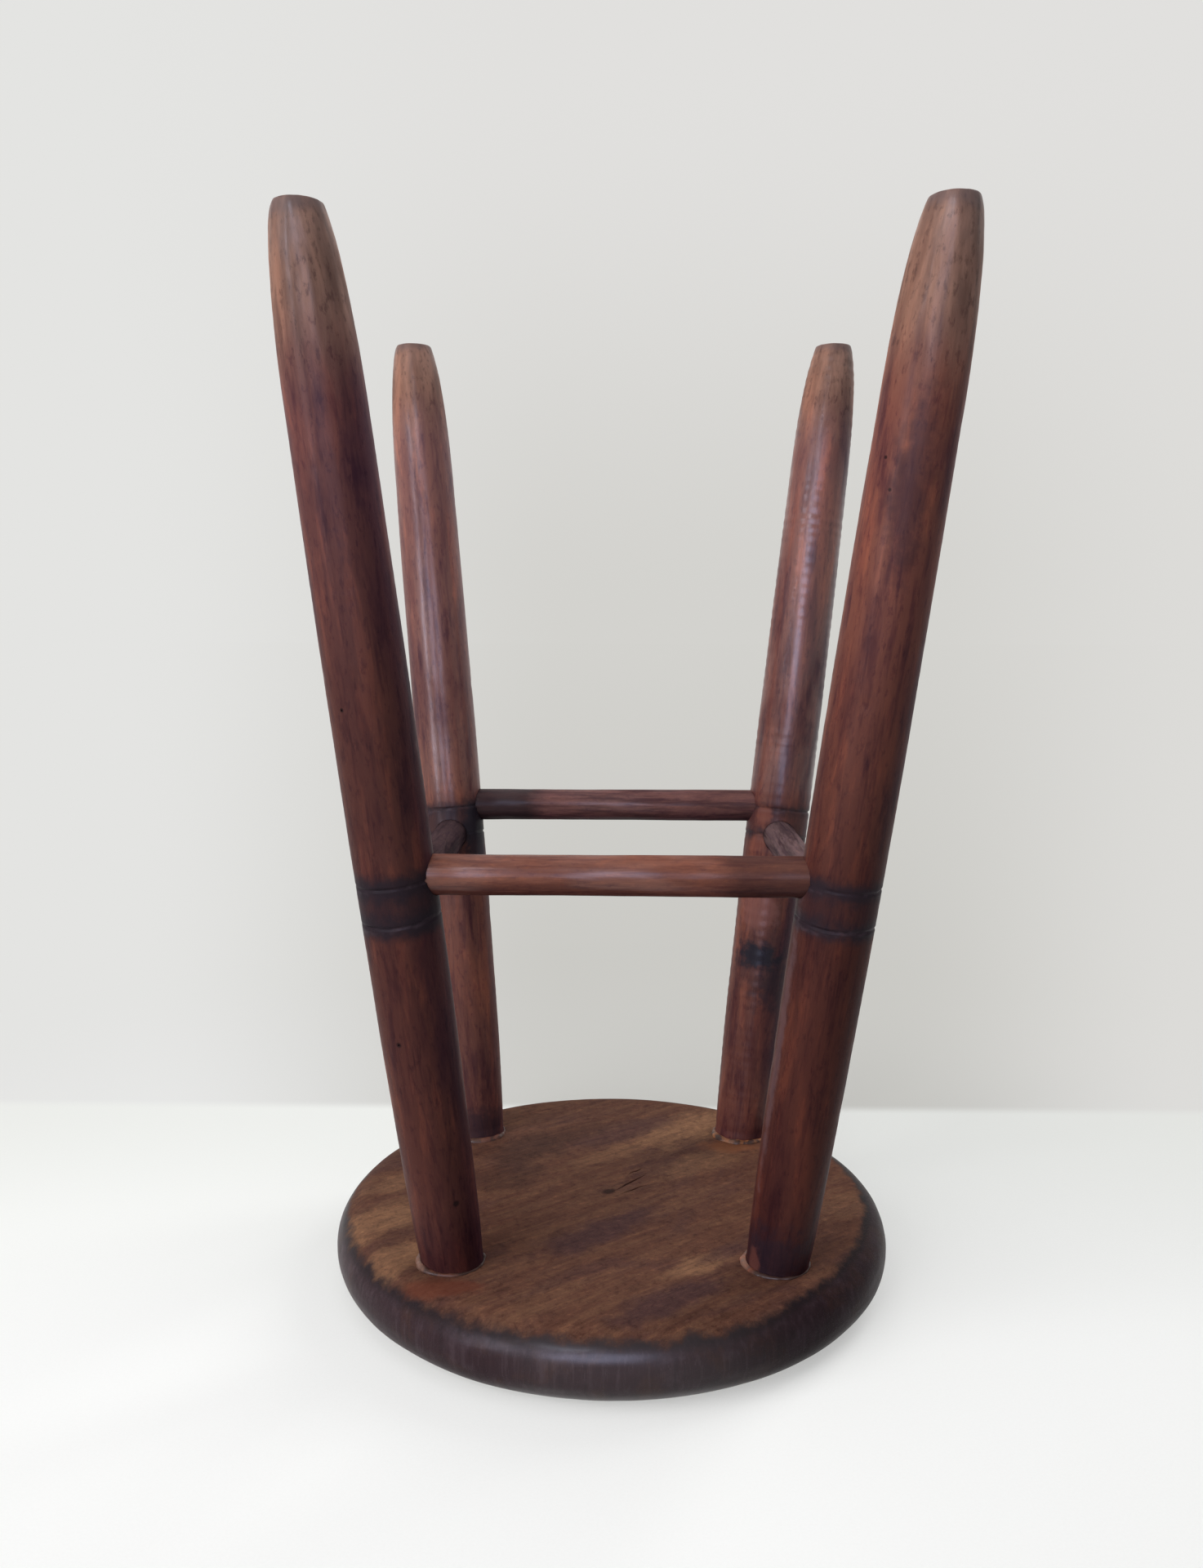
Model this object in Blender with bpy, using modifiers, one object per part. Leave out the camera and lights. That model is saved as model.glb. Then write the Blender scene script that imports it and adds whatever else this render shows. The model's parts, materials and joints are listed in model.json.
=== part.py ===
"""Round wooden stool on four splayed, turned legs, lying on its sitting face with its feet up.

Units are metres and +Z is up. The origin is the middle of the sitting face, and -Y is the front.
Half a turn about X puts the stool on its feet.
"""

import math

import bmesh
import bpy
from mathutils import Vector

# Whole stool. Heights are measured up from the sitting face, which lies on the floor.
STOOL_HEIGHT = 0.518
FIT_GAP = 0.0003
CUT_OVERRUN = 0.010

# Seat: a round board with both edges rounded over, and a narrow land left between the roundings.
SEAT_RADIUS = 0.150
SEAT_THICKNESS = 0.036
SEAT_EDGE_LAND = 0.002
SEAT_FLOOR = 0.010

# Legs: turned along a straight centre line, with a bullet-nosed foot. They swell from the seat to the
# stretchers, fast at first: a swell share under one lifts the start of the swell.
LEG_INSET = 0.037
LEG_RADIUS = 0.0186
TENON_RADIUS = 0.0153
TENON_CHAMFER = 0.0015
NECK_LENGTH = 0.005
SWELL_LENGTH = 0.235
SWELL_SHARE = 0.7
ANKLE_RADIUS = 0.0175
FOOT_LENGTH = 0.090
FOOT_RADIUS = 0.0085
FOOT_TRIM = 0.001

# The sockets were bored by eye, so each leg has its own splay, sideways and endways, in degrees.
# Its socket strays from the square plan by these shares of the plan's half width, outwards.
LEG_SIDES = {"front_left": (-1, -1), "front_right": (1, -1), "rear_left": (-1, 1), "rear_right": (1, 1)}
LEG_SPLAYS = {"front_left": (6.1, 6.0), "front_right": (6.5, 6.7), "rear_left": (5.0, 6.3), "rear_right": (6.5, 6.2)}
SOCKET_STRAY_SHARES = {
    "front_left": (-0.022, 0.0),
    "front_right": (0.026, 0.0),
    "rear_left": (0.034, 0.0),
    "rear_right": (-0.010, 0.008),
}

# Stretchers: plain round rails. Their ends stop short of a leg's centre line, so two rails never meet in one leg.
STRETCHER_RADIUS = 0.0095
STRETCHER_CHAMFER = 0.0008
SOCKET_WEB = 0.001
FRONT_RAIL_HEIGHT = 0.234
REAR_RAIL_HEIGHT = 0.238
SIDE_RAIL_FRONT_HEIGHT = 0.216
SIDE_RAIL_REAR_HEIGHT = 0.222
STRETCHERS = {
    "stretcher_front": (("front_left", FRONT_RAIL_HEIGHT), ("front_right", FRONT_RAIL_HEIGHT)),
    "stretcher_rear": (("rear_left", REAR_RAIL_HEIGHT), ("rear_right", REAR_RAIL_HEIGHT)),
    "stretcher_left": (("front_left", SIDE_RAIL_FRONT_HEIGHT), ("rear_left", SIDE_RAIL_REAR_HEIGHT)),
    "stretcher_right": (("front_right", SIDE_RAIL_FRONT_HEIGHT), ("rear_right", SIDE_RAIL_REAR_HEIGHT)),
}

# Scored rings: the turner's marks for the stretcher sockets, just seatward of each rail's centre line.
RING_WIDTH = 0.0022
RING_DEPTH = 0.0008
RING_DROP = 0.002

# Glue beads: hardened squeeze-out round each leg, as high as a share of the leg's straight neck.
BEAD_WIDTH = 0.0035
BEAD_HEIGHT_SHARE = 0.55

# Steps round each turned piece, and along each curved stretch of an outline.
SEAT_STEPS = 80
LEG_STEPS = 32
RAIL_STEPS = 24
EDGE_POINTS = 6
SWELL_POINTS = 8
BODY_POINTS = 4
FOOT_POINTS = 9
BEAD_POINTS = 4

PLAN_HALF_WIDTH = (SEAT_RADIUS - LEG_INSET) / math.sqrt(2)
RAIL_END_OFFSET = STRETCHER_RADIUS + SOCKET_WEB
BEAD_HEIGHT = BEAD_HEIGHT_SHARE * NECK_LENGTH
BEAD_RADIUS = TENON_RADIUS + FIT_GAP + BEAD_WIDTH


def start_scene():
    """Remove what the scene holds, and return new collections for the stool and for its cutters."""
    for thing in list(bpy.data.objects):
        bpy.data.objects.remove(thing, do_unlink=True)
    made = []
    for name in ("wooden_stool", "cutters"):
        collection = bpy.data.collections.new(name)
        bpy.context.scene.collection.children.link(collection)
        made.append(collection)
    return made


def wood(name, colour, roughness, coat=0.0):
    """Return a Principled material of one plain colour."""
    material = bpy.data.materials.new(name)
    material.use_nodes = True
    shader = material.node_tree.nodes["Principled BSDF"]
    shader.inputs["Base Color"].default_value = (*colour, 1.0)
    shader.inputs["Roughness"].default_value = roughness
    shader.inputs["Metallic"].default_value = 0.0
    shader.inputs["Coat Weight"].default_value = coat
    material.diffuse_color = (*colour, 1.0)
    return material


def aim(thing, direction):
    """Turn an object so that its own Z runs along a direction."""
    thing.rotation_mode = "QUATERNION"
    thing.rotation_quaternion = direction.to_track_quat("Z", "Y")


def turned(name, outline, steps, place, direction, material):
    """Turn an outline of (radius, height) points, foot first, about a line through a place."""
    mesh = bpy.data.meshes.new(name)
    points = [(radius, 0.0, height) for radius, height in outline]
    mesh.from_pydata(points, [(i, i + 1) for i in range(len(points) - 1)], [])
    piece = bpy.data.objects.new(name, mesh)
    parts.objects.link(piece)
    piece.location = place
    aim(piece, direction)
    piece.data.materials.append(material)
    screw = piece.modifiers.new("turning", "SCREW")
    screw.axis = "Z"
    screw.angle = math.tau
    screw.steps = steps
    screw.render_steps = steps
    screw.use_merge_vertices = True
    screw.merge_threshold = 0.00001
    screw.use_smooth_shade = True
    return piece


def add_cutter(name, bm):
    """Make a hidden wire object from a bmesh, to cut with."""
    mesh = bpy.data.meshes.new(name)
    bm.to_mesh(mesh)
    bm.free()
    cutter = bpy.data.objects.new(name, mesh)
    cutters.objects.link(cutter)
    cutter.display_type = "WIRE"
    cutter.hide_render = True
    return cutter


def round_cutter(name, radius, start, end, steps):
    """Make a round bar between two points, to bore a socket with."""
    bm = bmesh.new()
    bmesh.ops.create_cone(
        bm, cap_ends=True, segments=steps, radius1=radius, radius2=radius, depth=(end - start).length
    )
    cutter = add_cutter(name, bm)
    cutter.location = (start + end) / 2
    aim(cutter, end - start)
    return cutter


def cut(piece, cutter):
    """Take a cutter out of a piece."""
    boolean = piece.modifiers.new(cutter.name, "BOOLEAN")
    boolean.operation = "DIFFERENCE"
    boolean.solver = "EXACT"
    boolean.object = cutter


def leg_mouth(leg):
    """Return the point where a leg's centre line comes out of the seat's underside."""
    plan = [
        side * PLAN_HALF_WIDTH * (1 + stray)
        for side, stray in zip(LEG_SIDES[leg], SOCKET_STRAY_SHARES[leg])
    ]
    return Vector((*plan, SEAT_THICKNESS))


def leg_direction(leg):
    """Return the unit direction of a leg's centre line, from the seat to the foot."""
    lean = [side * math.tan(math.radians(splay)) for side, splay in zip(LEG_SIDES[leg], LEG_SPLAYS[leg])]
    return Vector((*lean, 1.0)).normalized()


def leg_point(leg, height):
    """Return the point of a leg's centre line at a height above the sitting face."""
    direction = leg_direction(leg)
    return leg_mouth(leg) + direction * (height - SEAT_THICKNESS) / direction.z


def tilt(direction):
    """Return the sine of a direction's angle from upright."""
    return math.sqrt(1 - direction.z**2)


def tenon_length(direction):
    """Return a tenon's length on its centre line: its lowest corner stays the seat floor above the sitting face."""
    drop = SEAT_THICKNESS - SEAT_FLOOR - (TENON_RADIUS + FIT_GAP) * tilt(direction)
    return drop / direction.z - FIT_GAP


def seat_outline():
    """Return the seat's half section, from the middle of the underside to the middle of the sitting face."""
    bend = (SEAT_THICKNESS - SEAT_EDGE_LAND) / 2
    outline = [(0.0, SEAT_THICKNESS)]
    for centre, first in ((SEAT_THICKNESS - bend, math.pi / 2), (bend, 0.0)):
        for i in range(EDGE_POINTS + 1):
            angle = first - i / EDGE_POINTS * math.pi / 2
            outline.append((SEAT_RADIUS - bend + bend * math.cos(angle), centre + bend * math.sin(angle)))
    outline.append((0.0, 0.0))
    return outline


def leg_radius(along, length):
    """Return a leg's radius at a distance from the seat along its centre line, rings left out."""
    swell_end = NECK_LENGTH + SWELL_LENGTH
    ankle = length - FOOT_LENGTH
    if along <= NECK_LENGTH:
        return TENON_RADIUS
    if along <= swell_end:
        share = ((along - NECK_LENGTH) / SWELL_LENGTH) ** SWELL_SHARE
        return TENON_RADIUS + (LEG_RADIUS - TENON_RADIUS) * math.sin(share * math.pi / 2)
    if along <= ankle:
        share = (along - swell_end) / (ankle - swell_end)
        return LEG_RADIUS - (LEG_RADIUS - ANKLE_RADIUS) * share**2
    share = (along - ankle) / FOOT_LENGTH
    return FOOT_RADIUS + (ANKLE_RADIUS - FOOT_RADIUS) * math.sqrt(max(0.0, 1 - share**2))


def leg_outline(leg):
    """Return a leg's half section from foot to tenon, with its length measured from the seat's underside."""
    direction = leg_direction(leg)
    rise = STOOL_HEIGHT - SEAT_THICKNESS + FOOT_RADIUS * tilt(direction) + FOOT_TRIM
    length = rise / direction.z
    swell_end = NECK_LENGTH + SWELL_LENGTH
    ankle = length - FOOT_LENGTH
    stations = [length - FOOT_LENGTH * (1 - math.sin(i / FOOT_POINTS * math.pi / 2)) for i in range(FOOT_POINTS)]
    stations += [swell_end + (ankle - swell_end) * i / BODY_POINTS for i in range(BODY_POINTS)]
    stations += [NECK_LENGTH + SWELL_LENGTH * i / SWELL_POINTS for i in range(SWELL_POINTS)]
    rings = []
    for ends in STRETCHERS.values():
        for name, height in ends:
            if name == leg:
                rings.append((height - RING_DROP - SEAT_THICKNESS) / direction.z)
    stations = [s for s in stations if all(abs(s - ring) > RING_WIDTH for ring in rings)]
    points = [(s, leg_radius(s, length)) for s in stations]
    for ring in rings:
        points.append((ring - RING_WIDTH / 2, leg_radius(ring - RING_WIDTH / 2, length)))
        points.append((ring, leg_radius(ring, length) - RING_DEPTH))
        points.append((ring + RING_WIDTH / 2, leg_radius(ring + RING_WIDTH / 2, length)))
    points.sort(reverse=True)
    tenon = tenon_length(direction)
    outline = [(0.0, length), (FOOT_RADIUS, length)]
    outline += [(radius, along) for along, radius in points]
    outline += [(TENON_RADIUS, TENON_CHAMFER - tenon), (TENON_RADIUS - TENON_CHAMFER, -tenon), (0.0, -tenon)]
    return outline


def make_seat():
    """Make the round board."""
    material = wood("seat_wood", (0.110, 0.052, 0.026), 0.50, 0.1)
    return turned("seat", seat_outline(), SEAT_STEPS, Vector(), Vector((0.0, 0.0, 1.0)), material)


def make_leg(leg, seat):
    """Make one leg, the socket that it stands in, its level foot and the bead of glue round its neck."""
    mouth = leg_mouth(leg)
    direction = leg_direction(leg)
    material = wood(f"leg_{leg}_wood", (0.080, 0.030, 0.021), 0.38, 0.25)
    piece = turned(f"leg_{leg}", leg_outline(leg), LEG_STEPS, mouth, direction, material)

    bm = bmesh.new()
    bmesh.ops.create_cube(bm, size=2 * (ANKLE_RADIUS + CUT_OVERRUN))
    level = add_cutter(f"level_{leg}", bm)
    level.location = leg_point(leg, STOOL_HEIGHT) + Vector((0.0, 0.0, ANKLE_RADIUS + CUT_OVERRUN))
    cut(piece, level)

    bottom = mouth - direction * (tenon_length(direction) + FIT_GAP)
    top = mouth + direction * (BEAD_HEIGHT + CUT_OVERRUN)
    bore = round_cutter(f"socket_{leg}", TENON_RADIUS + FIT_GAP, bottom, top, LEG_STEPS)
    cut(seat, bore)

    outline = [(0.0, BEAD_HEIGHT)]
    for i in range(BEAD_POINTS + 1):
        angle = (1 - i / BEAD_POINTS) * math.pi / 2
        radius = BEAD_RADIUS - BEAD_WIDTH / 2 + BEAD_WIDTH / 2 * math.cos(angle)
        outline.append((radius, BEAD_HEIGHT * math.sin(angle)))
    outline.append((0.0, 0.0))
    amber = wood(f"glue_bead_{leg}_glue", (0.170, 0.060, 0.022), 0.30, 0.4)
    upright = Vector((0.0, 0.0, 1.0))
    bead = turned(f"glue_bead_{leg}", outline, LEG_STEPS, mouth + upright * FIT_GAP, upright, amber)
    cut(bead, bore)
    return piece


def make_stretcher(name, legs):
    """Make one rail and bore a blind socket for each of its ends."""
    (first, first_height), (last, last_height) = STRETCHERS[name]
    start = leg_point(first, first_height)
    end = leg_point(last, last_height)
    direction = (end - start).normalized()
    half = (end - start).length / 2 - RAIL_END_OFFSET
    narrow = STRETCHER_RADIUS - STRETCHER_CHAMFER
    outline = [
        (0.0, half),
        (narrow, half),
        (STRETCHER_RADIUS, half - STRETCHER_CHAMFER),
        (STRETCHER_RADIUS, STRETCHER_CHAMFER - half),
        (narrow, -half),
        (0.0, -half),
    ]
    middle = (start + end) / 2
    material = wood(f"{name}_wood", (0.120, 0.048, 0.032), 0.40, 0.2)
    turned(name, outline, RAIL_STEPS, middle, direction, material)
    reach = direction * (half + FIT_GAP)
    bore = round_cutter(f"bore_{name}", STRETCHER_RADIUS + FIT_GAP, middle - reach, middle + reach, RAIL_STEPS)
    cut(legs[first], bore)
    cut(legs[last], bore)


parts, cutters = start_scene()
board = make_seat()
legs = {leg: make_leg(leg, board) for leg in LEG_SIDES}
for stretcher in STRETCHERS:
    make_stretcher(stretcher, legs)
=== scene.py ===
"""Round wooden stool on splayed, turned legs, lying on its sitting face with its feet up.

Lengths are metres and +Z is up. The origin is the middle of the sitting face, and -Y is the front.
"""

import json
import math
import random

import bmesh
import bpy
from mathutils import Matrix, Vector, noise


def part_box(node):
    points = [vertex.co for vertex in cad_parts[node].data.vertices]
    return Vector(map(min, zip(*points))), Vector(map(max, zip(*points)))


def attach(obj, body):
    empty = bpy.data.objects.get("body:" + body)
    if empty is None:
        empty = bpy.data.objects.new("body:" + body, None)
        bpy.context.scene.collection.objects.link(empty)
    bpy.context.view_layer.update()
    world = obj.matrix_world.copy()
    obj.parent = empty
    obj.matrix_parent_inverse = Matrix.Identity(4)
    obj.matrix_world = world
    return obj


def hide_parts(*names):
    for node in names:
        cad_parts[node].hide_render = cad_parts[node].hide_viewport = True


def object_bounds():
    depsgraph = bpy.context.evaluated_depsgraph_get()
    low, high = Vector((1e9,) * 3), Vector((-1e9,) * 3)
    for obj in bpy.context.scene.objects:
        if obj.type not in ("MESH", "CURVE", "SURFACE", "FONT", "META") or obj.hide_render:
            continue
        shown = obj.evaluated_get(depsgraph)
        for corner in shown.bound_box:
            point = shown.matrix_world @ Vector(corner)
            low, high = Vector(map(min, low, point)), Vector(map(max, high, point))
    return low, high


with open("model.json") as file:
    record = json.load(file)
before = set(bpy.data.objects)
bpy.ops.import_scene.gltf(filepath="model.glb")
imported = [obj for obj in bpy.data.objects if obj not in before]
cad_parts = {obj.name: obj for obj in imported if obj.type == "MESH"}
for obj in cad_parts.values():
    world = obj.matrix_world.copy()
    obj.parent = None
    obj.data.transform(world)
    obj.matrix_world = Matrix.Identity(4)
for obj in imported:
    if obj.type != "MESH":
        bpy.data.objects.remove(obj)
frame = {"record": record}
cad_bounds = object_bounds()

# The seat is one round board, turned with both edges rounded over and bored from below with four blind
# sockets. Old dark stain is left on its rim and in clouds on its underside, where golden wood shows
# between, round a small knot with drying cracks. Some clouds are partly painted shadow of the legs, and the
# rim's right side is painted in shade.
seat_bottom, seat_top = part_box("seat")
seat_radius = (seat_top.x - seat_bottom.x) / 2
seat_thickness = seat_top.z
seat_bend = 0.017
flat_radius = seat_radius - seat_bend
socket_floor = 0.010
tenon_radius = 0.0153
fit_gap = 0.0003
stool_height = cad_bounds[1][2]
up = Vector((0.0, 0.0, 1.0))

leg_names = ("front_left", "front_right", "rear_left", "rear_right")
mounts = {mount["name"]: Vector(mount["pos_m"]) for mount in frame["record"]["mounts"]}
leg_mouths = {}
leg_lines = {}
for leg in leg_names:
    bead_low, bead_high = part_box(f"glue_bead_{leg}")
    bead_x, bead_y = ((bead_low[i] + bead_high[i]) / 2 for i in (0, 1))
    leg_mouths[leg] = Vector((bead_x, bead_y, seat_thickness))
    leg_lines[leg] = (mounts[f"foot_{leg}"] - leg_mouths[leg]).normalized()


def tenon_length(line):
    """Return how deep a leg's tenon goes, measured on its centre line."""
    lean = math.sqrt(1 - line.z**2)
    return (seat_thickness - socket_floor - (tenon_radius + fit_gap) * lean) / line.z - fit_gap


def add_object(name, maker):
    """Turn a finished bmesh into an object in the scene."""
    mesh = bpy.data.meshes.new(name)
    maker.to_mesh(mesh)
    maker.free()
    piece = bpy.data.objects.new(name, mesh)
    bpy.context.scene.collection.objects.link(piece)
    return piece


def frame_at(place, way):
    """Return the frame at a place whose Z runs along a direction."""
    return Matrix.Translation(place) @ up.rotation_difference(way).to_matrix().to_4x4()


def spoke(angle):
    """Return the level way out from the middle at an angle."""
    return Vector((math.cos(angle), math.sin(angle), 0.0))


def around(steps):
    """Return so many even angles round a circle."""
    return [math.tau * i / steps for i in range(steps)]


def skin(name, rings, closed=False):
    """Make a mesh object through rings of points, its ends capped, or joined to each other if closed."""
    maker = bmesh.new()
    rows = [[maker.verts.new(point) for point in ring] for ring in rings]
    pairs = list(zip(rows, rows[1:]))
    if closed:
        pairs.append((rows[-1], rows[0]))
    else:
        maker.faces.new(rows[0][::-1])
        maker.faces.new(rows[-1])
    for row, above in pairs:
        for i, corner in enumerate(row):
            j = (i + 1) % len(row)
            maker.faces.new((corner, row[j], above[j], above[i]))
    bmesh.ops.recalc_face_normals(maker, faces=maker.faces)
    return add_object(name, maker)


def bar(start, end, radius, tip=None, sides=96):
    """Make a round bar between two points, to bore with. A tip radius makes it taper towards its end."""
    maker = bmesh.new()
    length = (end - start).length
    tip = radius if tip is None else tip
    bmesh.ops.create_cone(maker, cap_ends=True, segments=sides, radius1=radius, radius2=tip, depth=length)
    maker.transform(frame_at((start + end) / 2, end - start))
    return add_object("bar", maker)


def cut_out(piece, cutters):
    """Take the cutters out of a piece for good, and remove them."""
    for cutter in cutters:
        boolean = piece.modifiers.new("cut", "BOOLEAN")
        boolean.operation = "DIFFERENCE"
        boolean.solver = "EXACT"
        boolean.object = cutter
    bpy.context.view_layer.update()
    whole = piece.data
    piece.data = bpy.data.meshes.new_from_object(piece.evaluated_get(bpy.context.evaluated_depsgraph_get()))
    piece.modifiers.clear()
    bpy.data.meshes.remove(whole)
    for cutter in cutters:
        bpy.data.objects.remove(cutter)


def finish_piece(piece, node, wood, crease=40):
    """Smooth a piece, give it its material, hang it on the root body, and hide the node it stands for."""
    piece.data.shade_smooth()
    piece.data.set_sharp_from_angle(angle=math.radians(crease))
    piece.data.materials.clear()
    piece.data.materials.append(wood)
    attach(piece, "root")
    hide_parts(node)


grain_angle = math.radians(38)
grain_along = spoke(grain_angle)
grain_across = Vector((-math.sin(grain_angle), math.cos(grain_angle), 0.0))
knot_place = Vector((-0.0014, -0.0025, seat_thickness))
knot_radius = 0.0040
seat_steps = 300
board_wave = 0.00016
rim_wave = 0.00030
rim_knock = 0.00022
rim_inset = 0.0003


def seat_skin_point(angle, radius, height, slope):
    """Return a point of the seat's surface, with the slight waviness left by the turner's scraper."""
    point = Vector((radius * math.cos(angle), radius * math.sin(angle), height))
    if height == 0.0:
        return point
    outwards = spoke(angle) * math.cos(slope) + up * math.sin(slope)
    along_grain = Vector((point.dot(grain_across) / 0.030, point.dot(grain_along) / 0.090, height / 0.030))
    around = Vector((math.cos(angle), math.sin(angle), height / 0.035)) * 4.5
    wave = board_wave * noise.noise(along_grain) * math.sin(slope)
    wave += rim_wave * noise.noise(around) * math.cos(slope)
    knock = rim_knock * noise.noise(around * 3.1) * math.cos(slope)
    return point + outwards * (wave + min(0.0, knock) - rim_inset * math.cos(slope))


def seat_rings():
    """Return the seat's rings of points, from the sitting face's middle round to the underside's."""
    outline = [(0.004 + (flat_radius - 0.004) * i / 24, 0.0, -math.pi / 2) for i in range(24)]
    for i in range(44):
        slope = -math.pi / 2 + math.pi * i / 43
        middle = seat_bend if slope < 0 else seat_thickness - seat_bend
        bend_out = flat_radius + seat_bend * math.cos(slope)
        outline.append((bend_out, middle + seat_bend * math.sin(slope), slope))
    inwards = flat_radius - 0.002
    outline += [(flat_radius - inwards * i / 64, seat_thickness, math.pi / 2) for i in range(1, 65)]
    rings = []
    for radius, height, slope in outline:
        rings.append([seat_skin_point(t, radius, max(0.0, height), slope) for t in around(seat_steps)])
    return rings


def crack(start, end, width, depth, seed):
    """Make a thin wavering wedge to cut a drying crack with, between two places on the underside."""
    wander = random.Random(seed)
    first = Vector((*start, seat_thickness))
    last = Vector((*end, seat_thickness))
    aside = (last - first).cross(up).normalized()
    rings = []
    for i in range(9):
        share = i / 8
        swell = math.sin(math.pi * min(0.97, max(0.03, share)))
        centre = first.lerp(last, share) + aside * wander.uniform(-0.0004, 0.0004)
        rim = aside * width / 2 * swell
        rings.append([centre - rim + up * 0.0005, centre - up * depth * swell, centre + rim + up * 0.0005])
    return skin("crack", rings)


def feed(tree, node, feeds):
    """Feed a node's sockets, by name or number, with values or other sockets."""
    for name, value in feeds.items():
        if isinstance(value, bpy.types.NodeSocket):
            tree.links.new(value, node.inputs[name])
        else:
            node.inputs[name].default_value = value


def put(tree, kind, feeds=None, **settings):
    """Add a node with its own settings, and feed its sockets."""
    node = tree.nodes.new(kind)
    for name, value in settings.items():
        setattr(node, name, value)
    feed(tree, node, feeds or {})
    return node


def reckon(tree, operation, first, second=0.0, third=0.0):
    """Work out a value from up to three others."""
    return put(tree, "ShaderNodeMath", {0: first, 1: second, 2: third}, operation=operation).outputs[0]


def times(tree, first, second):
    """Multiply two values."""
    return reckon(tree, "MULTIPLY", first, second)


def less(tree, first, second):
    """Take the second value from the first."""
    return reckon(tree, "SUBTRACT", first, second)


def fade(tree, value, start, end, low=0.0, high=1.0):
    """Ease from low to high while a value goes from start to end."""
    feeds = {"Value": value, "From Min": start, "From Max": end, "To Min": low, "To Max": high}
    return put(tree, "ShaderNodeMapRange", feeds, interpolation_type="SMOOTHSTEP").outputs[0]


def lay(tree, share, under, over, way="MIX"):
    """Lay one colour over another by a share."""
    feeds = {0: share, 6: under, 7: over}
    return put(tree, "ShaderNodeMix", feeds, data_type="RGBA", blend_type=way).outputs[2]


def dab(tree, colour, mask, strength, stain, way="MIX"):
    """Lay a stain over a colour where its mask is full."""
    return lay(tree, times(tree, mask, strength), colour, stain, way)


def vary(tree, share, first, second):
    """Go from one value to another by a share."""
    return put(tree, "ShaderNodeMix", {0: share, 2: first, 3: second}).outputs[0]


def mottle(tree, place, scale, detail=3.0, roughness=0.55, distortion=0.0):
    """Return an even mottling about one half, with so many lumps to the metre."""
    feeds = {"Vector": place, "Scale": scale, "Detail": detail}
    feeds |= {"Roughness": roughness, "Distortion": distortion}
    return put(tree, "ShaderNodeTexNoise", feeds).outputs["Fac"]


def move(tree, operation, first, second):
    """Work out a place from two others."""
    return put(tree, "ShaderNodeVectorMath", {0: first, 1: second}, operation=operation).outputs[0]


def stretch(tree, place, share):
    """Scale a place's third distance only."""
    return move(tree, "MULTIPLY", place, (1.0, 1.0, share))


def split(tree, place):
    """Return the three distances of a place."""
    return put(tree, "ShaderNodeSeparateXYZ", {0: place}).outputs


def along_way(tree, place, way):
    """Return how far a place lies along a direction."""
    return put(tree, "ShaderNodeVectorMath", {0: place, 1: way}, operation="DOT_PRODUCT").outputs["Value"]


def off_centre(tree, place):
    """Return how far a place lies from the middle."""
    return put(tree, "ShaderNodeVectorMath", {0: place}, operation="LENGTH").outputs["Value"]


def tone(red, green, blue):
    """Return the colour of a paint chip read in sRGB steps from 0 to 255."""
    steps = [step / 255 for step in (red, green, blue)]
    return (*[s / 12.92 if s <= 0.04045 else ((s + 0.055) / 1.055) ** 2.4 for s in steps], 1.0)


def new_effect(name, inlets, outlets):
    """Start a node group with named sockets. Return it with its inlets and outlets."""
    tree = bpy.data.node_groups.new(name, "ShaderNodeTree")
    for side, sockets in (("INPUT", inlets), ("OUTPUT", outlets)):
        for label, kind in sockets.items():
            tree.interface.new_socket(name=label, in_out=side, socket_type=f"NodeSocket{kind}")
    return tree, tree.nodes.new("NodeGroupInput").outputs, tree.nodes.new("NodeGroupOutput").inputs


def use(tree, effect, **feeds):
    """Place an effect in a material. An inlet's name is written in small letters, with _ for a space."""
    node = put(tree, "ShaderNodeGroup", node_tree=effect)
    feed(tree, node, {name.replace("_", " ").title(): value for name, value in feeds.items()})
    return node.outputs


# Wood figure: the grain of a place whose Z runs along the fibres, as broad streaks, fine fibres and pores.
figure, given, result = new_effect(
    "wood figure",
    {"Place": "Vector", "Fineness": "Float", "Stretch": "Float", "Seed": "Float"},
    {"Streaks": "Float", "Fibres": "Float", "Pores": "Float"},
)
long_way = reckon(figure, "DIVIDE", 1.0, given["Stretch"])
drawn_out = put(figure, "ShaderNodeCombineXYZ", {"X": 1.0, "Y": 1.0, "Z": long_way}).outputs[0]
shifted = move(figure, "ADD", given["Place"], given["Seed"])
drawn = move(figure, "MULTIPLY", shifted, drawn_out)
fine = times(figure, given["Fineness"], 5.0)
streaks = mottle(figure, drawn, given["Fineness"], 4.0, 0.62, 0.25)
fibres = mottle(figure, drawn, fine, 2.0, 0.6)
dashes = mottle(figure, stretch(figure, drawn, 3.0), fine, 1.0)
for label, made in (("Streaks", streaks), ("Fibres", fibres), ("Pores", fade(figure, dashes, 0.60, 0.72))):
    figure.links.new(made, result[label])

# Ragged edge: full where a distance is above zero, with a broken edge that follows the fibres.
ragged, given, result = new_effect(
    "ragged edge",
    {"Distance": "Float", "Place": "Vector", "Lumps": "Float", "Raggedness": "Float", "Softness": "Float"},
    {"Mask": "Float"},
)
broken = less(ragged, mottle(ragged, given["Place"], given["Lumps"], 5.0, 0.65), 0.5)
reach = reckon(ragged, "MULTIPLY_ADD", broken, given["Raggedness"], given["Distance"])
back = times(ragged, given["Softness"], -1.0)
ragged.links.new(fade(ragged, reach, back, given["Softness"]), result["Mask"])

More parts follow.
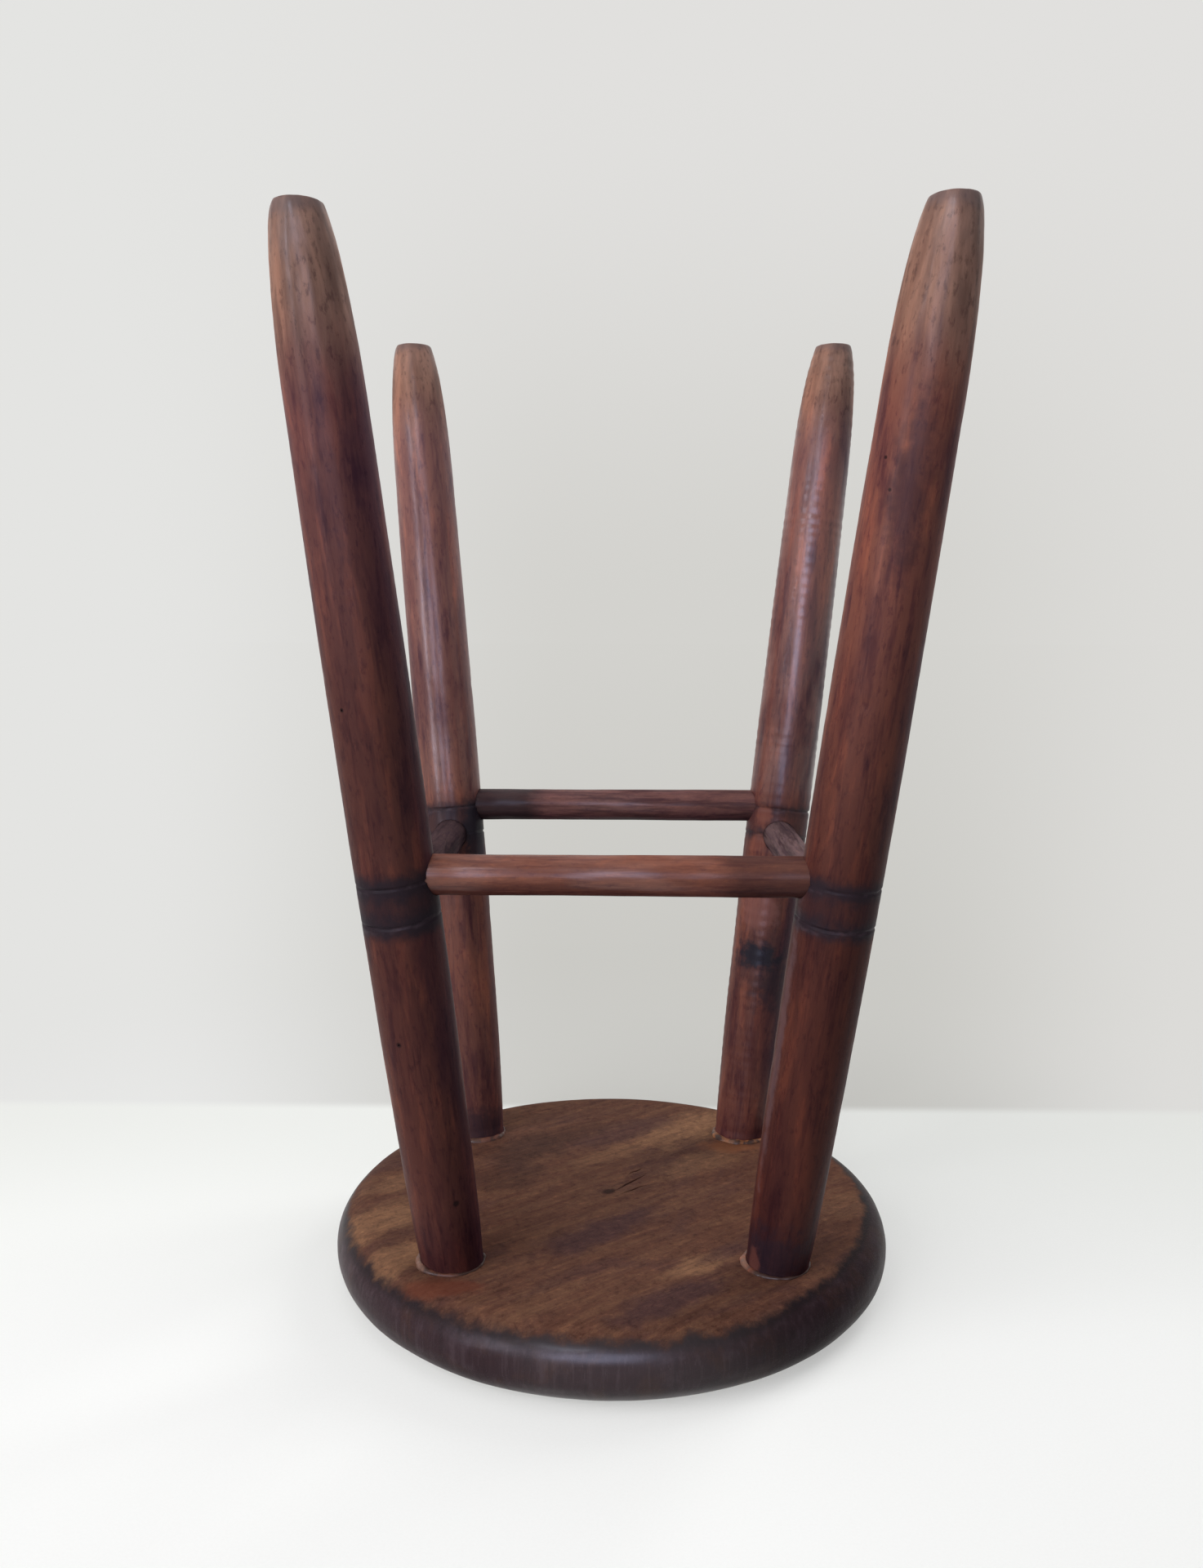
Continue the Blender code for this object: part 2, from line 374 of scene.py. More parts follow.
# Spot: a soft oval patch about a middle, as far across as its reach, with an uneven edge.
spot, given, result = new_effect(
    "spot",
    {"Place": "Vector", "Middle": "Vector", "Reach": "Vector", "Lumps": "Float", "Raggedness": "Float"},
    {"Mask": "Float"},
)
offset = move(spot, "DIVIDE", move(spot, "SUBTRACT", given["Place"], given["Middle"]), given["Reach"])
distance = off_centre(spot, offset)
uneven = less(spot, mottle(spot, given["Place"], given["Lumps"], 4.0, 0.6), 0.5)
edge = reckon(spot, "MULTIPLY_ADD", uneven, given["Raggedness"], distance)
spot.links.new(fade(spot, edge, 1.15, 0.45), result["Mask"])


def torn_edge(tree, *feeds):
    """Return a ragged edge's mask, from its distance, place, lumps, raggedness and softness."""
    return put(tree, "ShaderNodeGroup", dict(enumerate(feeds)), node_tree=ragged).outputs[0]


def blot(tree, *feeds):
    """Return a spot's mask, from its place, middle, reach, lumps and raggedness."""
    return put(tree, "ShaderNodeGroup", dict(enumerate(feeds)), node_tree=spot).outputs[0]


def dress(tree, shader, colour, rough, shine, varnish, sheen, height, rise, strength=0.5):
    """Give a surface its colour, roughness, bare shine, varnish, the varnish's blur and fine relief."""
    relief = put(tree, "ShaderNodeBump", {"Height": height, "Distance": rise, "Strength": strength})
    feed(tree, shader, {
        "Base Color": colour, "Roughness": rough, "Specular IOR Level": shine,
        "Coat Weight": varnish, "Coat Roughness": sheen, "Normal": relief.outputs[0],
    })


def new_material(name):
    """Return a new material, its node tree, its Principled BSDF and the object's own coordinates."""
    material = bpy.data.materials.new(name)
    material.use_nodes = True
    tree = material.node_tree
    place = tree.nodes.new("ShaderNodeTexCoord").outputs["Object"]
    return material, tree, tree.nodes["Principled BSDF"], place


def on_board(x, y):
    """Return a plan place on the seat as its place across, through and along the grain."""
    point = Vector((x, y, 0.0))
    return (point.dot(grain_across), seat_thickness, point.dot(grain_along))


seat_gold = tone(122, 89, 67)
seat_brown = tone(86, 57, 46)
seat_dark = tone(62, 42, 36)
seat_purple = tone(70, 48, 47)
rim_dark = tone(51, 36, 40)
rim_brown = tone(62, 42, 39)
rim_deep = tone(32, 25, 28)
scuffed = tone(86, 71, 77)
worn_line = tone(140, 108, 86)
stain_line = 0.1435
painted_rim_shade = (0.42, 0.36, 0.40, 1.0)
seat_lighter = (1.55, 1.50, 1.40, 1.0)
seat_darker = (0.55, 0.52, 0.58, 1.0)
knot_dark = tone(42, 27, 24)

# Glue wiped over the wood beside two legs: leg, shift from its middle, reach, strength and colour.
glue_puddles = (
    ("front_left", (-0.003, -0.026, 0.0), (0.024, 0.009, 1.0), 0.55, tone(100, 52, 38)),
    ("rear_right", (-0.008, -0.021, 0.0), (0.021, 0.010, 1.0), 0.50, tone(134, 84, 56)),
)

# Cloud places on the underside: plan place, half width across and along the grain, and strength. Most
# purple and dark clouds lie where the legs' shadows fall, and are partly stain and partly painted shadow.
purple_stain_and_shadow_clouds = (
    (-0.006, -0.048, 0.015, 0.042, 0.90),
    (0.027, -0.116, 0.013, 0.036, 0.90),
    (0.056, -0.071, 0.006, 0.018, 0.60),
    (0.006, 0.079, 0.014, 0.050, 0.60),
)
dark_stain_and_shadow_clouds = (
    (-0.053, 0.052, 0.024, 0.036, 0.80),
    (-0.060, 0.016, 0.020, 0.030, 0.60),
    (-0.025, 0.078, 0.014, 0.030, 0.50),
)
bare_patches = (
    (-0.124, -0.040, 0.018, 0.040, 0.90),
    (-0.106, -0.080, 0.015, 0.032, 0.85),
    (0.043, -0.083, 0.009, 0.024, 0.80),
    (0.000, 0.048, 0.009, 0.040, 0.50),
    (0.052, 0.036, 0.014, 0.040, 0.50),
    (0.128, -0.018, 0.013, 0.026, 0.35),
    (-0.040, -0.124, 0.010, 0.040, 0.20),
    (0.052, 0.090, 0.020, 0.055, 1.00),
    (-0.115, 0.010, 0.012, 0.030, 0.60),
)


def seat_wood():
    """Return the seat's material: bare and stained wood on the underside with painted leg shadows, dark
    worn stain on the rim with painted shade on its right.
    """
    material, tree, shader, place = new_material("seat_wood")
    cut = split(tree, place)
    across = along_way(tree, place, grain_across)
    along = along_way(tree, place, grain_along)

    knot_across, _, knot_along = on_board(knot_place.x, knot_place.y)
    beside = less(tree, across, knot_across)
    before = times(tree, less(tree, along, knot_along), 0.45)
    squared = reckon(tree, "MULTIPLY_ADD", beside, beside, times(tree, before, before))
    parting = reckon(tree, "DIVIDE", knot_radius**2, reckon(tree, "ADD", squared, 0.000004))
    parted = less(tree, across, times(tree, beside, parting))
    board = put(tree, "ShaderNodeCombineXYZ", {"X": parted, "Y": cut["Z"], "Z": along}).outputs[0]
    still = put(tree, "ShaderNodeCombineXYZ", {"X": across, "Y": cut["Z"], "Z": along}).outputs[0]

    wide = use(tree, figure, place=board, fineness=130.0, stretch=5.0, seed=0.4)
    close = use(tree, figure, place=board, fineness=420.0, stretch=9.0, seed=2.7)
    colour = lay(tree, fade(tree, wide["Streaks"], 0.42, 0.66, 0.0, 0.24), seat_brown, seat_gold)

    drift = stretch(tree, still, 0.45)
    haze = fade(tree, mottle(tree, drift, 34.0, 5.0, 0.68, 0.6), 0.46, 0.66, 0.0, 0.50)
    colour = lay(tree, haze, colour, seat_purple)
    for clouds, stain, lumps, raggedness in (
        (bare_patches, seat_gold, 90.0, 1.3),
        (purple_stain_and_shadow_clouds, seat_purple, 60.0, 1.5),
        (dark_stain_and_shadow_clouds, seat_dark, 60.0, 1.5),
    ):
        for x, y, half_across, half_along, strength in clouds:
            cloud = blot(tree, still, on_board(x, y), (half_across, 1.0, half_along), lumps, raggedness)
            colour = dab(tree, colour, cloud, strength, stain)

    grit = mottle(tree, still, 260.0, 6.0, 0.75, 0.3)
    rubs = mottle(tree, move(tree, "MULTIPLY", place, (0.35, 1.0, 1.0)), 330.0, 3.0, 0.6)
    for share, way in (
        (fade(tree, close["Streaks"], 0.50, 0.34, 0.0, 0.45), seat_darker),
        (fade(tree, close["Streaks"], 0.53, 0.70, 0.0, 0.50), seat_lighter),
        (fade(tree, grit, 0.49, 0.34, 0.0, 0.72), seat_darker),
        (fade(tree, grit, 0.53, 0.68, 0.0, 0.62), seat_lighter),
        (fade(tree, rubs, 0.55, 0.70, 0.0, 0.45), seat_lighter),
    ):
        colour = lay(tree, share, colour, way, "MULTIPLY")
    scratches = fade(tree, close["Fibres"], 0.60, 0.74, 0.0, 0.18)
    colour = lay(tree, scratches, colour, worn_line)
    colour = dab(tree, colour, close["Pores"], 0.30, knot_dark)

    knot_oval = (knot_radius * 0.9, 1.0, knot_radius * 1.3)
    knot_middle = on_board(knot_place.x, knot_place.y)
    knot = blot(tree, still, knot_middle, knot_oval, 600.0, 0.8)
    colour = dab(tree, colour, knot, 0.95, knot_dark)
    deep = fade(tree, cut["Z"], seat_thickness - 0.0002, seat_thickness - 0.0007)

    for leg, shift, reach, strength, stain in glue_puddles:
        middle = leg_mouths[leg] + Vector(shift)
        puddle = blot(tree, place, middle, reach, 160.0, 1.3)
        colour = dab(tree, colour, puddle, strength, stain)

    plan = stretch(tree, place, 0.0)
    out = off_centre(tree, plan)
    to_right = fade(tree, cut["X"], 0.05, 0.13, 0.0, 0.0060)
    past_edge = reckon(tree, "ADD", less(tree, out, stain_line), to_right)
    below = fade(tree, cut["Z"], seat_thickness * 0.62, seat_thickness * 0.45, 0.0, 0.02)
    inner = reckon(tree, "ADD", past_edge, below)
    rim = torn_edge(tree, inner, place, 95.0, 0.012, 0.0026)

    upright = stretch(tree, place, 0.12)
    rim_figure = use(tree, figure, place=upright, fineness=330.0, stretch=2.0, seed=5.1)
    rim_patches = fade(tree, mottle(tree, place, 48.0, 5.0, 0.65, 0.4), 0.50, 0.66, 0.0, 0.8)
    rim_colour = lay(tree, rim_patches, rim_dark, rim_brown)
    for share, stain in (
        (fade(tree, mottle(tree, place, 55.0, 4.0, 0.6), 0.50, 0.70, 0.0, 0.30), scuffed),
        (fade(tree, rim_figure["Streaks"], 0.50, 0.68, 0.0, 0.25), scuffed),
        (fade(tree, rim_figure["Streaks"], 0.48, 0.34, 0.0, 0.35), rim_deep),
        (fade(tree, rim_figure["Fibres"], 0.58, 0.74, 0.0, 0.25), scuffed),
        (fade(tree, inner, 0.0050, 0.0018, 0.0, 0.75), rim_deep),
    ):
        rim_colour = lay(tree, share, rim_colour, stain)
    # The rim's right side, away from the window lamp, is painted in shade.
    unlit = fade(tree, cut["X"], 0.01, 0.09, 0.0, 0.72)
    rim_colour = lay(tree, unlit, rim_colour, painted_rim_shade, "MULTIPLY")
    colour = lay(tree, rim, colour, rim_colour)
    middle_worn = fade(tree, out, 0.11, 0.05, 0.0, 0.5)
    sat_on = times(tree, middle_worn, fade(tree, cut["Z"], 0.004, 0.001))
    colour = lay(tree, sat_on, colour, seat_brown)
    on_top = fade(tree, out, flat_radius, flat_radius - 0.002)
    in_crack = times(tree, times(tree, deep, on_top), fade(tree, cut["Z"], 0.018, 0.022))
    colour = lay(tree, in_crack, colour, knot_dark)

    rough = vary(tree, rim, 0.58, 0.36)
    rough = reckon(tree, "MULTIPLY_ADD", close["Streaks"], 0.16, less(tree, rough, 0.08))
    polish = times(tree, rim, fade(tree, cut["X"], 0.03, 0.10, 0.50, 0.03))
    polish = times(tree, polish, fade(tree, cut["X"], -0.060, -0.025, 0.25, 1.0))
    height = reckon(tree, "MULTIPLY_ADD", close["Fibres"], 0.6, wide["Streaks"])
    height = less(tree, height, times(tree, close["Pores"], 0.8))
    dress(tree, shader, colour, rough, 0.03, polish, 0.28, height, 0.00022, 0.55)
    return material


seat = skin("seat_board", seat_rings())
cutters = []
for leg in leg_names:
    line = leg_lines[leg]
    socket_end = leg_mouths[leg] - line * (tenon_length(line) + fit_gap)
    cutters.append(bar(socket_end, leg_mouths[leg] + line * 0.012, tenon_radius + fit_gap))
for start, end, width, depth, seed in (
    ((0.0005, -0.0030), (0.0204, 0.0211), 0.0018, 0.0024, 1),
    ((0.0090, 0.0195), (0.0183, 0.0287), 0.0016, 0.0020, 2),
    ((0.0045, -0.0060), (0.0210, 0.0072), 0.0015, 0.0020, 3),
):
    cutters.append(crack(start, end, width, depth, seed))
cut_out(seat, cutters)
finish_piece(seat, "seat", seat_wood(), 30)

# The four legs are turned from dark reddish wood with a bullet-nosed foot, scored with two rings that
# marked the rail sockets, stained and varnished. Each foot is trimmed level and worn pale. Each leg
# was bored by eye and leans its own way, glued into the seat by a round tenon.
leg_radius = 0.0186
neck_length = 0.005
swell_length = 0.235
swell_share = 0.7
ankle_radius = 0.0175
foot_length = 0.090
foot_radius = 0.0085
foot_trim = 0.001
ring_width = 0.0022
ring_depth = 0.0008
ring_drop = 0.002
rail_radius = 0.0095
socket_web = 0.001
rail_end_offset = rail_radius + socket_web
rails = {
    "stretcher_front": (("front_left", 0.234), ("front_right", 0.234)),
    "stretcher_rear": (("rear_left", 0.238), ("rear_right", 0.238)),
    "stretcher_left": (("front_left", 0.216), ("rear_left", 0.222)),
    "stretcher_right": (("front_right", 0.216), ("rear_right", 0.222)),
}
tenon_chamfer = 0.0015
leg_steps = 120
leg_spacing = 0.0012
lathe_lumps = 0.00022
lathe_grit = 0.00007
ripple_pitch = 0.0062
ring_stray = 0.0006
ring_room = 0.0026
foot_wear = 0.00025
knock_count = 16
trim_soft = 0.00022


def leg_point(leg, height):
    """Return the place on a leg's centre line at a height above the floor."""
    line = leg_lines[leg]
    return leg_mouths[leg] + line * (height - seat_thickness) / line.z


def leg_length(leg):
    """Return a leg's turned length from the seat's underside, before its foot is trimmed level."""
    line = leg_lines[leg]
    lean = math.sqrt(1 - line.z**2)
    return (stool_height - seat_thickness + foot_radius * lean + foot_trim) / line.z


def ring_places(leg):
    """Return how far up its centre line a leg's two rings are scored."""
    heights = [height for ends in rails.values() for name, height in ends if name == leg]
    return [(height - ring_drop - seat_thickness) / leg_lines[leg].z for height in heights]


def turned_radius(along, length):
    """Return a leg's radius as it came off the lathe, rings left out."""
    ankle = length - foot_length
    if along <= neck_length:
        return tenon_radius
    if along <= neck_length + swell_length:
        share = ((along - neck_length) / swell_length) ** swell_share
        return tenon_radius + (leg_radius - tenon_radius) * math.sin(share * math.pi / 2)
    if along <= ankle:
        share = (along - neck_length - swell_length) / (ankle - neck_length - swell_length)
        return leg_radius - (leg_radius - ankle_radius) * share**2
    share = min(1.0, (along - ankle) / foot_length)
    return foot_radius + (ankle_radius - foot_radius) * math.sqrt(1 - share**2)


# How each leg differs. Marks, pits, smudges, painted sheens and smears lie at an angle in degrees round the
# leg and a distance along it from the seat. Marks also have a size, pits nothing more, and the others a
# half width, half length and strength. The painted sheens are painted highlights and reflections. Rise is
# where the low tone turns into the high one, and the low tone is partly painted shade. Two shares set the
# painted light on the side toward the window lamp and the painted shade on the far side, and one length
# sets how far painted shade reaches up from the seat.
leg_looks = {
    "front_left": {
        "seed": 1.7, "ripple": 0.00003, "worn_length": 0.060, "sheen": 0.28, "base_shade": 0.024,
        "rise": (0.24, 0.43), "low": tone(79, 46, 41), "high": tone(97, 60, 59),
        "faded_and_lit": 0.0, "shaded": 0.85, "varnish": 0.06, "band": 0.0056, "soot": 0.65,
        "marks": ((-120.4, 0.2803, 0.0012), (-111.0, 0.1234, 0.0015), (-58.6, 0.0389, 0.0019)),
        "pits": ((-120.4, 0.2803), (-111.0, 0.1234)),
    },
    "front_right": {
        "seed": 4.3, "ripple": 0.00003, "worn_length": 0.064, "sheen": 0.28, "base_shade": 0.024,
        "rise": (0.16, 0.40), "low": tone(70, 38, 33), "high": tone(113, 69, 60),
        "faded_and_lit": 0.25, "shaded": 0.75, "varnish": 0.06, "band": 0.0042, "soot": 0.35,
        "marks": ((-138.9, 0.3851, 0.0009), (-124.5, 0.3724, 0.0009)),
        "smudges": ((-96.0, 0.375, 0.010, 0.045, 0.5), (-110.0, 0.010, 0.020, 0.020, 0.6)),
        "painted_sheens": ((-163.0, 0.115, 0.0035, 0.080, 0.22),),
        "smears": ((-148.0, 0.005, 0.005, 0.008, 0.32),),
    },
    "rear_left": {
        "seed": 7.9, "ripple": 0.00004, "worn_length": 0.048, "sheen": 0.26, "base_shade": 0.008,
        "rise": (0.12, 0.42), "low": tone(95, 59, 52), "high": tone(122, 80, 74),
        "faded_and_lit": 0.0, "shaded": 0.35, "varnish": 0.60, "band": 0.0020, "soot": 0.80,
        # The rear-left leg's second smudge, beside the left rail's joint, is painted shadow of the rail.
        "smudges": ((-75.0, 0.006, 0.018, 0.014, 0.7), (-34.0, 0.182, 0.014, 0.026, 1.0)),
    },
    "rear_right": {
        "seed": 11.2, "ripple": 0.00012, "worn_length": 0.050, "sheen": 0.27, "base_shade": 0.008,
        "rise": (0.16, 0.42), "low": tone(95, 57, 51), "high": tone(107, 64, 59),
        "faded_and_lit": 0.30, "shaded": 1.00, "varnish": 1.00, "band": 0.0016, "soot": 0.35,
        "smudges": ((-96.0, 0.110, 0.020, 0.030, 0.45), (-60.0, 0.096, 0.014, 0.020, 0.6),
                    (-106.0, 0.1130, 0.0150, 0.0100, 1.1)),
        "painted_sheens": ((-112.0, 0.140, 0.014, 0.014, 0.25),),
        "smears": ((-125.0, 0.198, 0.006, 0.008, 0.55), (-130.0, 0.180, 0.007, 0.008, 0.50),
                   (-112.0, 0.140, 0.013, 0.014, 0.40)),
    },
}
# The way toward the window lamp: each leg's side facing it gets painted light, partly sun-bleached wood,
# and its far side painted shade.
faded_and_lit_side = Vector((-0.94, -0.34, 0.0))
lighter = (1.58, 1.46, 1.25, 1.0)
darker = (0.48, 0.42, 0.64, 1.0)
shadier = (0.60, 0.62, 1.04, 1.0)
amber_lit_side = (1.00, 0.85, 0.74, 1.0)


def on_leg(leg, angle, along):
    """Return the place on a leg's turned surface at an angle in degrees and a distance along it."""
    return spoke(math.radians(angle)) * turned_radius(along, leg_length(leg)) + up * along


def leg_stations(leg):
    """Return the distances along a leg at which its surface has a ring of points."""
    length = leg_length(leg)
    tenon = tenon_length(leg_lines[leg])
    ankle = length - foot_length
    places = [tenon_chamfer - tenon, -0.015, -0.006, -0.001]
    places += [leg_spacing * i for i in range(int(ankle / leg_spacing))]
    places += [ankle + foot_length * math.sin(math.pi / 2 * i / 64) for i in range(64)]
    for ring in ring_places(leg):
        places = [place for place in places if abs(place - ring) > ring_room]
        places += [ring + 0.00025 * i for i in range(-9, 10)]
    return sorted(places)


def leg_surface_point(leg, along, angle, knocks):
    """Return a point of a leg's surface in its own frame, with the marks of the lathe and of wear."""
    length = leg_length(leg)
    look = leg_looks[leg]
    way = spoke(angle)
    radius = turned_radius(along, length)
    if along > 0:
        spin = way * 1.3 + up * (along / 0.055 + look["seed"])
        radius += lathe_lumps * noise.noise(spin) + lathe_grit * noise.noise(spin * 4.7)
        shake = noise.noise(up * (along / 0.019 + look["seed"] * 3))
        radius += look["ripple"] * math.sin(math.tau * along / ripple_pitch + 3 * shake) * (0.6 + shake)
        for ring in ring_places(leg):
            depth = 0.60 + 0.9 * noise.noise(way * 2.2 + up * (ring * 40 + look["seed"]))
            strayed = ring + ring_stray * noise.noise(way * 1.4 + up * (ring * 90 + look["seed"]))
            shape = max(0.0, 1 - abs(along - strayed) / (ring_width / 2))
            radius -= ring_depth * max(0.1, depth) * shape**0.8
        worn = max(0.0, 1 - (length - along) / look["worn_length"])
        radius += foot_wear * worn * (noise.noise(way * 3.3 + up * along / 0.011) - 0.5)
        for knock_along, knock_angle, size, depth in knocks:
            if abs(along - knock_along) < 2 * size:
                turn = math.atan2(math.sin(angle - knock_angle), math.cos(angle - knock_angle)) * radius
                near = ((along - knock_along) ** 2 + turn**2) / size**2
                if near < 4:
                    radius -= depth * math.exp(-near * 1.5)
    return way * radius + up * along


def leg_rings(leg):
    """Return a leg's rings of points from its tenon to its foot, trimmed level with a softened edge."""
    chance = random.Random(int(leg_looks[leg]["seed"] * 10))
    length = leg_length(leg)
    knocks = []
    for _ in range(knock_count):
        place = chance.uniform(0.06, length - 0.01)
        angle = chance.uniform(0, math.tau)
        size = chance.uniform(0.002, 0.006)
        knocks.append((place, angle, size, chance.uniform(0.0001, 0.00035)))
    turns = around(leg_steps)
    tenon = tenon_length(leg_lines[leg])
    tip = tenon_radius - tenon_chamfer
    rings = [[spoke(turn) * tip - up * tenon for turn in turns]]
    for along in leg_stations(leg):
        rings.append([leg_surface_point(leg, along, turn, knocks) for turn in turns])
    for share in (1.0, 0.85, 0.65, 0.45, 0.25, 0.08):
        rings.append([spoke(turn) * foot_radius * share + up * length for turn in turns])
    own_up = up.rotation_difference(leg_lines[leg]).to_matrix().inverted() @ up
    for ring in rings:
        for point in ring:
            over = seat_thickness + point.dot(own_up) - stool_height
            if over > -0.004:
                point -= own_up * trim_soft * math.log1p(math.exp(over / trim_soft))
    return rings


def leg_wood(leg):
    """Return a leg's material: streaked stain under varnish, worn pale at the foot, sooty by the rings,
    painted light and shade.
    """
    look = leg_looks[leg]
    seed = look["seed"]
    length = leg_length(leg)
    material, tree, shader, place = new_material(f"leg_{leg}_wood")
    parts = split(tree, place)
    along = parts["Z"]
    wide = use(tree, figure, place=place, fineness=130.0, stretch=7.0, seed=seed)
    close = use(tree, figure, place=place, fineness=420.0, stretch=10.0, seed=seed + 3)
    shift = Vector((seed, seed, seed)) * 0.37
    slow = stretch(tree, move(tree, "ADD", place, shift), 0.28)
    cloud = mottle(tree, slow, 42.0, 4.0, 0.6, 0.5)

    # The low tone near the seat is darker than the high one, partly deeper stain and partly painted shade.
    colour = lay(tree, fade(tree, along, *look["rise"]), look["low"], look["high"])
    facing = along_way(tree, place, faded_and_lit_side)
    facing = reckon(tree, "DIVIDE", facing, leg_radius)
    facing = reckon(tree, "MULTIPLY_ADD", less(tree, cloud, 0.5), 2.0, facing)
    flecks = mottle(tree, stretch(tree, place, 0.4), 420.0, 4.0, 0.65)
    # The first two layers are painted light on the side toward the window lamp and purple painted shade on
    # the side away from it.
    for share, way in (
        (fade(tree, facing, -0.1, 1.0, 0.0, look["faded_and_lit"]), lighter),
        (fade(tree, facing, 0.0, -0.9, 0.0, look["shaded"]), shadier),
        (fade(tree, cloud, 0.52, 0.66, 0.0, 0.50), lighter),
        (fade(tree, cloud, 0.47, 0.34, 0.0, 0.45), darker),
        (fade(tree, wide["Streaks"], 0.52, 0.66, 0.0, 0.75), lighter),
        (fade(tree, wide["Streaks"], 0.48, 0.33, 0.0, 0.75), darker),
        (fade(tree, close["Streaks"], 0.48, 0.34, 0.0, 0.50), darker),
        (fade(tree, close["Fibres"], 0.58, 0.74, 0.0, 0.45), lighter),
        (fade(tree, flecks, 0.54, 0.68, 0.0, 0.55), darker),
    ):
        colour = lay(tree, share, colour, way, "MULTIPLY")
    # Painted shade darkens each leg where it meets the seat.
    from_seat = less(tree, look["base_shade"], along)
    stretched = stretch(tree, place, 0.35)
    base_shade_mask = torn_edge(tree, from_seat, stretched, 80.0, 0.050, 0.014)
    colour = dab(tree, colour, base_shade_mask, 0.7, darker, "MULTIPLY")

    to_end = less(tree, along, length - look["worn_length"])
    worn = torn_edge(tree, to_end, stretched, 110.0, 0.030, 0.026)
    pale = lay(tree, fade(tree, wide["Streaks"], 0.36, 0.64), tone(116, 88, 77), tone(152, 117, 102))
    pale = lay(tree, fade(tree, flecks, 0.52, 0.66, 0.0, 0.55), pale, tone(70, 50, 46))
    # The worn foot's side toward the window lamp gets a painted warm tint of light.
    pale = lay(tree, fade(tree, facing, -0.1, 0.9, 0.0, 0.75), pale, amber_lit_side, "MULTIPLY")
    colour = dab(tree, colour, worn, 0.85, pale)
    to_tip = less(tree, along, length - 0.007)
    tip = torn_edge(tree, to_tip, place, 260.0, 0.006, 0.003)
    colour = dab(tree, colour, tip, 0.55, tone(88, 74, 76))

    sooty = tone(38, 31, 38)
    low_ring, high_ring = sorted(ring_places(leg))
    off_middle = reckon(tree, "ABSOLUTE", less(tree, along, (low_ring + high_ring) / 2))
    inside = less(tree, (high_ring - low_ring) / 2 + 0.003, off_middle)
    between = torn_edge(tree, inside, place, 90.0, 0.014, 0.007)
    colour = dab(tree, colour, between, look["soot"], sooty)
    for ring in (low_ring, high_ring):
        off_ring = reckon(tree, "ABSOLUTE", less(tree, along, ring))
        inside = less(tree, look["band"], off_ring)
        band = torn_edge(tree, inside, place, 130.0, 0.013, 0.0036)
        colour = dab(tree, colour, band, 0.88, sooty)
        # A pale line beside each ring, partly worn groove lip and partly a painted highlight there.
        slanted = reckon(tree, "MULTIPLY_ADD", parts["X"], 0.09, ring - 0.0010)
        sway = less(tree, mottle(tree, place, 70.0), 0.5)
        wavy = reckon(tree, "MULTIPLY_ADD", sway, 0.006, slanted)
        off_line = reckon(tree, "ABSOLUTE", less(tree, along, wavy))
        rubbed_lip_glint = fade(tree, mottle(tree, place, 120.0), 0.46, 0.64, 0.0, 0.30)
        rubbed_lip_glint = times(tree, fade(tree, off_line, 0.0016, 0.0002), rubbed_lip_glint)
        colour = lay(tree, rubbed_lip_glint, colour, tone(84, 70, 78))
    # Smudges are dark marks, one of them painted shadow; the pale sheens are painted highlights; smears are
    # orange stains.
    for blots, stain in (
        ("smudges", tone(34, 30, 40)),
        ("painted_sheens", tone(132, 108, 114)),
        ("smears", tone(134, 78, 64)),
    ):
        for angle, distance, half_width, half_length, strength in look.get(blots, ()):
            oval = (half_width, half_width, half_length)
            patch = blot(tree, place, on_leg(leg, angle, distance), oval, 170.0, 1.5)
            colour = dab(tree, colour, patch, 0.9 * strength, stain)
    for angle, distance, size in look.get("marks", ()):
        mark = blot(tree, place, on_leg(leg, angle, distance), (size, size, size), 900.0, 0.3)
        colour = dab(tree, colour, mark, 0.85, tone(28, 18, 20))

    rough = vary(tree, worn, 0.46, 0.60)
    rough = reckon(tree, "MULTIPLY_ADD", close["Streaks"], 0.16, less(tree, rough, 0.08))
    varnish = times(tree, fade(tree, cloud, 0.34, 0.58, 0.4, 1.0), look["varnish"])
    varnish = times(tree, varnish, fade(tree, along, high_ring, high_ring + 0.02, 0.2, 1.0))
    varnish = times(tree, varnish, fade(tree, worn, 0.1, 0.9, 1.0, 0.2))
    handled = times(tree, worn, fade(tree, close["Streaks"], 0.35, 0.65, 0.08, 0.24))
    handled = reckon(tree, "ADD", handled, fade(tree, to_tip, -0.024, -0.004, 0.0, 0.35))
    varnish = reckon(tree, "MAXIMUM", varnish, handled)
    height = reckon(tree, "MULTIPLY_ADD", close["Fibres"], 0.5, wide["Streaks"])
    height = less(tree, height, times(tree, close["Pores"], 0.7))
    dress(tree, shader, colour, rough, 0.05, varnish, look["sheen"], height, 0.00012)
    return material


def rail_ends(rail):
    """Return the two ends of a rail's centre line, inside the legs."""
    start, end = (leg_point(leg, height) for leg, height in rails[rail])
    way = (end - start).normalized()
    return start + way * rail_end_offset, end - way * rail_end_offset


